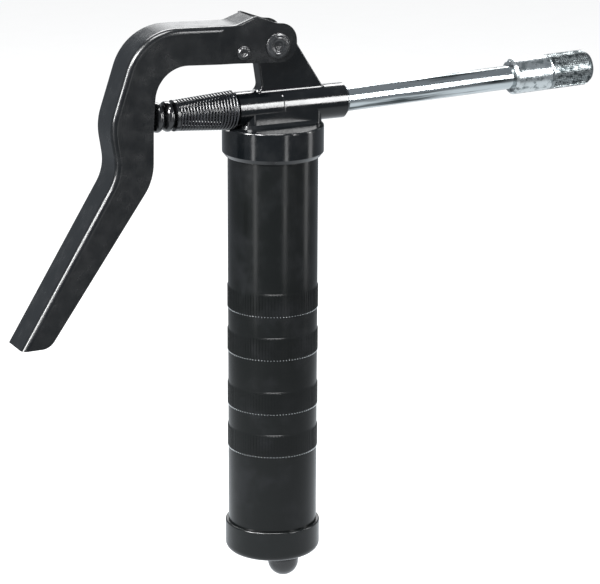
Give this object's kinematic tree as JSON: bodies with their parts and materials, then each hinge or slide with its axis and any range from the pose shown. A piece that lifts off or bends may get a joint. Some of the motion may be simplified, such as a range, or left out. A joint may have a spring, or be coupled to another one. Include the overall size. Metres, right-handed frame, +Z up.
{
  "type": "grease gun",
  "caption": "Small hand grease gun: a squeeze lever arches over a horizontal pump on a knurled barrel, with a rigid delivery tube and a fitting coupler.",
  "frame": {"origin": "on the barrel's axis, at the middle of the knurled grip", "axes": "+Z up the barrel towards the pump head, +X along the pump towards the nozzle, Y across the lever"},
  "size_m": [0.269, 0.0428, 0.2497],
  "materials": {
    "barrel_paint": "satin black paint over steel tube, knurled bands",
    "cap_enamel": "gloss black paint over pressed steel",
    "head_enamel": "gloss black enamel over a die casting",
    "lever_enamel": "gloss black enamel over pressed steel, slight orange peel",
    "black_oxide": "black oxide, oiled",
    "spring_steel": "drawn wire",
    "plated_tube": "bright zinc plate on drawn tube",
    "plated_coupler": "turned and plated steel",
    "zinc_steel": "zinc-plated steel",
    "bearing_steel": "ground and hardened",
    "nitrile_rubber": "moulded nitrile",
    "knob_plastic": "moulded black plastic"
  },
  "bodies": {
    "barrel": {"barrel_tube": "barrel_paint", "bottom_cap": "cap_enamel", "follower_spring": "spring_steel"},
    "follower": {"follower_cup": "nitrile_rubber", "follower_plate": "zinc_steel", "follower_nut": "zinc_steel", "pull_rod": "zinc_steel", "rod_knob": "knob_plastic"},
    "gasket": {"barrel_gasket": "nitrile_rubber"},
    "head": {"head_casting": "head_enamel", "plunger_packing": "nitrile_rubber", "check_spring": "spring_steel", "delivery_tube": "plated_tube", "coupler_body": "plated_coupler", "coupler_sleeve": "plated_coupler", "coupler_jaws": "bearing_steel", "coupler_spring": "spring_steel", "return_spring": "black_oxide"},
    "lever": {"lever_channel": "lever_enamel", "wear_strip": "zinc_steel", "pivot_rivet": "lever_enamel", "stop_rivet": "lever_enamel", "stop_bush": "zinc_steel"},
    "plunger": {"plunger": "black_oxide", "spring_washer": "black_oxide"},
    "outlet_ball": {"check_ball": "bearing_steel"},
    "coupler_piston": {"coupler_piston": "zinc_steel", "coupler_seal": "nitrile_rubber"}
  },
  "joints": [
    {"name": "follower_pull", "type": "slide", "parent": "barrel", "child": "follower", "axis": [0, 0, -1], "range_m": [0, 0.115], "stiffness_N_per_m": 80, "springref_m": -0.08, "deforming": ["follower_spring"]},
    {"name": "gasket_lift", "type": "slide", "parent": "barrel", "child": "gasket", "axis": [0, 0, 1], "range_m": [0, 0.0015]},
    {"name": "head_unscrew", "type": "hinge", "parent": "gasket", "child": "head", "pos_m": [0, 0, 0.1], "axis": [0, 0, 1], "range_deg": [0, 360]},
    {"name": "lever_squeeze", "type": "hinge", "parent": "head", "child": "lever", "pos_m": [-0.0016, 0, 0.1396], "axis": [0, -1, 0], "range_deg": [0, 16.5], "stiffness_Nm_per_rad": 1.5, "springref_deg": -20.05},
    {"name": "plunger_push", "type": "slide", "parent": "head", "child": "plunger", "axis": [1, 0, 0], "range_m": [0, 0.0078], "deforming": ["return_spring"]},
    {"name": "ball_lift", "type": "slide", "parent": "head", "child": "outlet_ball", "axis": [1, 0, 0], "range_m": [0, 0.001], "stiffness_N_per_m": 300, "springref_m": -0.001, "deforming": ["check_spring"]},
    {"name": "seal_push", "type": "slide", "parent": "head", "child": "coupler_piston", "axis": [-0.9994, 0, -0.0349], "range_m": [0, 0.0015], "stiffness_N_per_m": 1500, "springref_m": -0.002, "deforming": ["coupler_spring"]}
  ],
  "couplings": [
    {"joint": "gasket_lift", "follows": "head_unscrew", "m_per_rad": 0.00023873},
    {"joint": "plunger_push", "follows": "lever_squeeze", "m_per_rad": 0.027}
  ]
}
